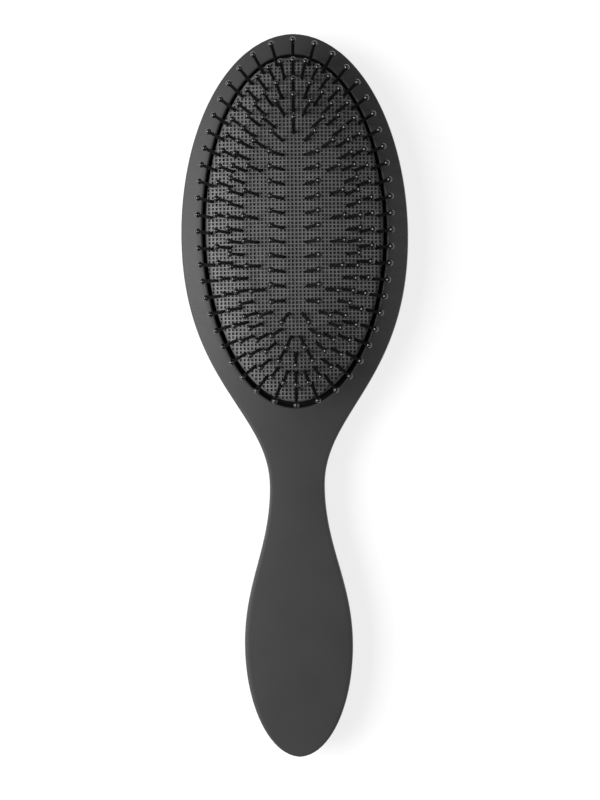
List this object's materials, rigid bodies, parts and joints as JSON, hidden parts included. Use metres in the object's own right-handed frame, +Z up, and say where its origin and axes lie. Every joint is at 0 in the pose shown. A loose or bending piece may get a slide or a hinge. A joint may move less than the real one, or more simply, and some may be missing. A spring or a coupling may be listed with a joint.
{
  "type": "detangling brush",
  "caption": "Oval detangling hairbrush: split handle shell, air-cushioned rubber pad in the head and flexible ball-tipped pins that lean outwards and give when pressed.",
  "frame": {"origin": "under the middle of the brush's length and width, on the plane that its back rests on", "axes": "+Z up out of the bristles, +Y along the brush towards the head, +X across the head"},
  "size_m": [0.07, 0.2222, 0.0371],
  "materials": {
    "body_plastic": "soft-touch coated, matte charcoal",
    "tray_plastic": "plain moulded, black",
    "cushion_rubber": "fine square waffle texture, matte dark grey",
    "pin_nylon": "smooth black nylon with glossy ball tips"
  },
  "bodies": {
    "handle": {"front_shell": "body_plastic", "back_shell": "body_plastic", "cushion_tray": "tray_plastic", "cushion_pad": "cushion_rubber"},
    "outer_ring": {"outer_ring_pins": "pin_nylon"},
    "second_ring": {"second_ring_pins": "pin_nylon"},
    "third_ring": {"third_ring_pins": "pin_nylon"},
    "fourth_ring": {"fourth_ring_pins": "pin_nylon"},
    "centre_ring": {"centre_ring_pins": "pin_nylon"}
  },
  "joints": [
    {"name": "cushion_press", "type": "slide", "parent": "handle", "child": "centre_ring", "axis": [0, 0, -1], "range_m": [0, 0.0035], "stiffness_N_per_m": 2000, "deforming": ["cushion_pad"]},
    {"name": "fourth_ring_press", "type": "slide", "parent": "handle", "child": "fourth_ring", "axis": [0, 0, -1], "range_m": [0, 0.00314]},
    {"name": "third_ring_press", "type": "slide", "parent": "handle", "child": "third_ring", "axis": [0, 0, -1], "range_m": [0, 0.00282]},
    {"name": "second_ring_press", "type": "slide", "parent": "handle", "child": "second_ring", "axis": [0, 0, -1], "range_m": [0, 0.00236]},
    {"name": "outer_ring_press", "type": "slide", "parent": "handle", "child": "outer_ring", "axis": [0, 0, -1], "range_m": [0, 0.00168]}
  ],
  "couplings": [
    {"joint": "outer_ring_press", "follows": "cushion_press", "ratio": 0.477},
    {"joint": "second_ring_press", "follows": "cushion_press", "ratio": 0.672},
    {"joint": "third_ring_press", "follows": "cushion_press", "ratio": 0.802},
    {"joint": "fourth_ring_press", "follows": "cushion_press", "ratio": 0.893}
  ]
}
